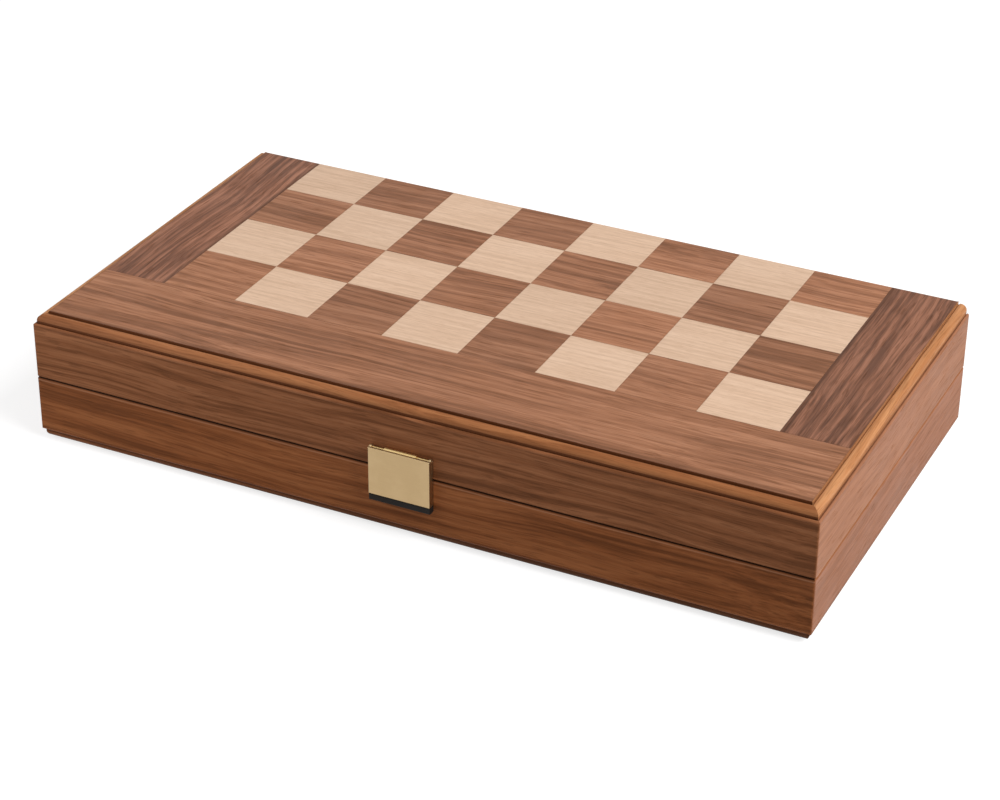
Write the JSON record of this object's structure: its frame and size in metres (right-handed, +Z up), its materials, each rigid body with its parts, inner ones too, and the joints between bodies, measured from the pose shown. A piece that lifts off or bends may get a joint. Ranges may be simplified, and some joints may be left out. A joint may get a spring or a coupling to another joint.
{
  "type": "folding games box",
  "caption": "Folding wooden games box: two hinged trays with a front flap clasp, chessboard veneers outside, backgammon points and playing pieces inside.",
  "frame": {"origin": "middle of the flat underside that the closed box rests on", "axes": "+X along the length, +Y from the clasp to the hinges, +Z up through the lid"},
  "size_m": [0.38, 0.207, 0.0657],
  "materials": {
    "walnut_wall": "satin lacquered walnut veneer, grain along the wall",
    "walnut_moulding": "satin lacquered solid wood",
    "walnut_band": "satin lacquered walnut veneer",
    "walnut_square": "satin lacquered walnut veneer",
    "pale_square": "satin lacquered pale oak veneer",
    "core_board": "plain board",
    "field_veneer": "satin lacquered veneer",
    "pale_point": "satin lacquered pale veneer",
    "dark_point": "satin lacquered dark veneer",
    "hinge_brass": "brushed",
    "screw_brass": "turned",
    "clasp_gold": "satin plated",
    "catch_black": "fine moulded",
    "magnet_steel": "plated",
    "pale_man": "turned and waxed",
    "dark_man": "turned and waxed",
    "die_white": "polished"
  },
  "bodies": {
    "base": {"base_front_wall": "walnut_wall", "base_back_wall": "walnut_wall", "base_left_wall": "walnut_wall", "base_right_wall": "walnut_wall", "base_front_moulding": "walnut_moulding", "base_front_strip": "walnut_band", "base_left_moulding": "walnut_moulding", "base_left_strip": "walnut_band", "base_right_moulding": "walnut_moulding", "base_right_strip": "walnut_band", "base_panel": "core_board", "base_light_squares": "pale_square", "base_dark_squares": "walnut_square", "base_playfield": "field_veneer", "base_light_points": "pale_point", "base_dark_points": "dark_point", "base_hinge_leaves": "hinge_brass", "base_hinge_screws": "screw_brass", "hinge_pins": "hinge_brass", "clasp_catch": "catch_black", "catch_magnet": "magnet_steel", "catch_screws": "screw_brass", "light_pawns": "pale_man", "light_rooks": "pale_man", "light_knights": "pale_man", "light_bishops": "pale_man", "light_queen": "pale_man", "light_king": "pale_man", "light_counters": "pale_man", "dark_pawns": "dark_man", "dark_rooks": "dark_man", "dark_knights": "dark_man", "dark_bishops": "dark_man", "dark_queen": "dark_man", "dark_king": "dark_man", "dark_counters": "dark_man", "dice": "die_white"},
    "lid": {"lid_front_wall": "walnut_wall", "lid_back_wall": "walnut_wall", "lid_left_wall": "walnut_wall", "lid_right_wall": "walnut_wall", "lid_front_moulding": "walnut_moulding", "lid_front_strip": "walnut_band", "lid_left_moulding": "walnut_moulding", "lid_left_strip": "walnut_band", "lid_right_moulding": "walnut_moulding", "lid_right_strip": "walnut_band", "lid_panel": "core_board", "lid_light_squares": "pale_square", "lid_dark_squares": "walnut_square", "lid_playfield": "field_veneer", "lid_light_points": "pale_point", "lid_dark_points": "dark_point", "lid_hinge_leaves": "hinge_brass", "lid_hinge_screws": "screw_brass", "clasp_backplate": "clasp_gold", "clasp_pin": "clasp_gold", "clasp_screws": "screw_brass"},
    "clasp_flap": {"clasp_cover": "clasp_gold"}
  },
  "joints": [
    {"name": "lid_hinge", "type": "hinge", "parent": "base", "child": "lid", "pos_m": [0, 0.1008, 0.03285], "axis": [-1, 0, 0], "range_deg": [0, 180]},
    {"name": "clasp_hinge", "type": "hinge", "parent": "lid", "child": "clasp_flap", "pos_m": [0, -0.10215, 0.04285], "axis": [-1, 0, 0], "range_deg": [0, 90]}
  ]
}
